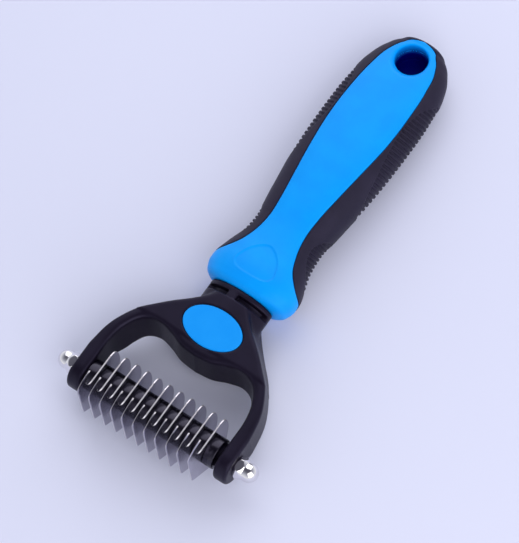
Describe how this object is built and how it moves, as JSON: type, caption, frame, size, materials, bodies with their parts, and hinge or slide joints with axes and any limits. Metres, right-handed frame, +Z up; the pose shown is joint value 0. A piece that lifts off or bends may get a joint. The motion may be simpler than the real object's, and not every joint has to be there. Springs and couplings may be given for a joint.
{
  "type": "pet dematting comb",
  "caption": "Hand-held dematting comb: hooked steel blades on a threaded rod across a Y-shaped head, held by a contoured two-material handle with a hang hole.",
  "frame": {"origin": "centre of the underside of the comb lying on its back, teeth up", "axes": "+X along the blade rod; +Y from the head to the handle's hang hole; +Z up, the way the teeth stand"},
  "size_m": [0.077, 0.1676, 0.0259],
  "materials": {
    "black_plastic": "satin black injection-moulded plastic with softly rounded edges",
    "blue_badge": "smooth flat blue inlay",
    "blue_plastic": "smooth satin blue moulded plastic",
    "black_rubber": "matte charcoal soft overmould with ribbed patches",
    "blade_steel": "polished stainless sheet with bright ground edges",
    "spacer_plastic": "glossy black moulded plastic",
    "nut_chrome": "bright nickel plating",
    "threaded_steel": "zinc-plated threaded rod"
  },
  "bodies": {
    "root": {"head_frame": "black_plastic", "badge": "blue_badge", "handle_core": "blue_plastic", "grip": "black_rubber", "rod": "threaded_steel", "acorn_nut_left": "nut_chrome", "acorn_nut_right": "nut_chrome", "blade_01": "blade_steel", "blade_02": "blade_steel", "blade_03": "blade_steel", "blade_04": "blade_steel", "blade_05": "blade_steel", "blade_06": "blade_steel", "blade_07": "blade_steel", "blade_08": "blade_steel", "blade_09": "blade_steel", "blade_10": "blade_steel", "blade_11": "blade_steel", "spacer_01": "spacer_plastic", "spacer_02": "spacer_plastic", "spacer_03": "spacer_plastic", "spacer_04": "spacer_plastic", "spacer_05": "spacer_plastic", "spacer_06": "spacer_plastic", "spacer_07": "spacer_plastic", "spacer_08": "spacer_plastic", "spacer_09": "spacer_plastic", "spacer_10": "spacer_plastic", "end_spacer_left": "spacer_plastic", "end_spacer_right": "spacer_plastic"}
  },
  "joints": []
}
